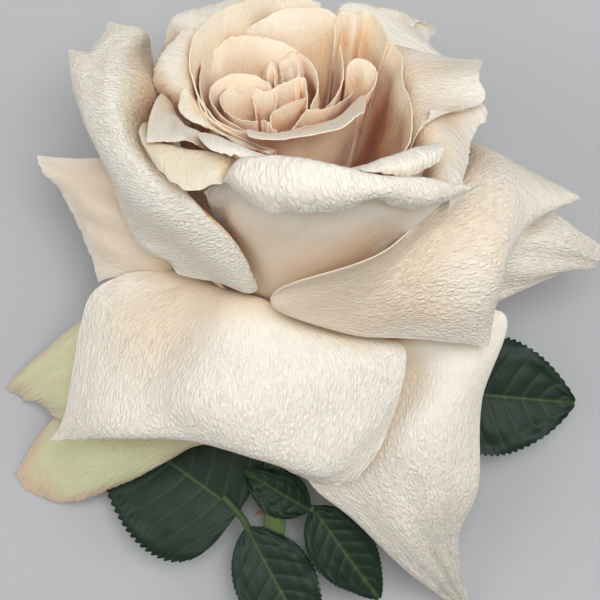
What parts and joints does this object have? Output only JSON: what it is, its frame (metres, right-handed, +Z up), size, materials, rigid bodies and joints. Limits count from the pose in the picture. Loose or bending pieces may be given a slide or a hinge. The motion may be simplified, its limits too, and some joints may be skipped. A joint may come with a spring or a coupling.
{
  "type": "cut garden rose",
  "caption": "Garden rose laid down: high-centred bloom with a spiral heart, rolled cup petals and wide reflexed outer petals, on an arched cut stem with prickles and serrated leaves.",
  "frame": {"origin": "centre of the box round the whole flower, on the table it lies on", "axes": "+Z up from the table; the stem runs out towards -Y; +X is to the right of the bloom, seen from above with the bloom away from the viewer"},
  "size_m": [0.1396, 0.2096, 0.0875],
  "materials": {
    "petal": "matte",
    "guard_petal": "matte",
    "heart_petal": "matte",
    "green_stem": "satin",
    "leaf": "satin"
  },
  "bodies": {
    "root": {"heart": "heart_petal", "leaf_front": "leaf", "leaf_left": "leaf", "leaf_right": "leaf", "petal_back_left": "petal", "petal_back_mid": "petal", "petal_back_right": "petal", "petal_cup_back_left": "petal", "petal_cup_back_right": "petal", "petal_cup_front": "petal", "petal_cup_front_inner": "petal", "petal_cup_front_left": "petal", "petal_cup_left_upper": "petal", "petal_cup_left_wall": "petal", "petal_cup_right_inner": "petal", "petal_cup_right_low": "petal", "petal_cup_right_upper": "petal", "petal_front_low": "petal", "petal_front_right": "petal", "petal_left_back": "petal", "petal_left_guard": "guard_petal", "petal_left_long": "petal", "petal_low_guard": "guard_petal", "petal_right_back": "petal", "petal_right_low": "petal", "stem": "green_stem"}
  },
  "joints": []
}
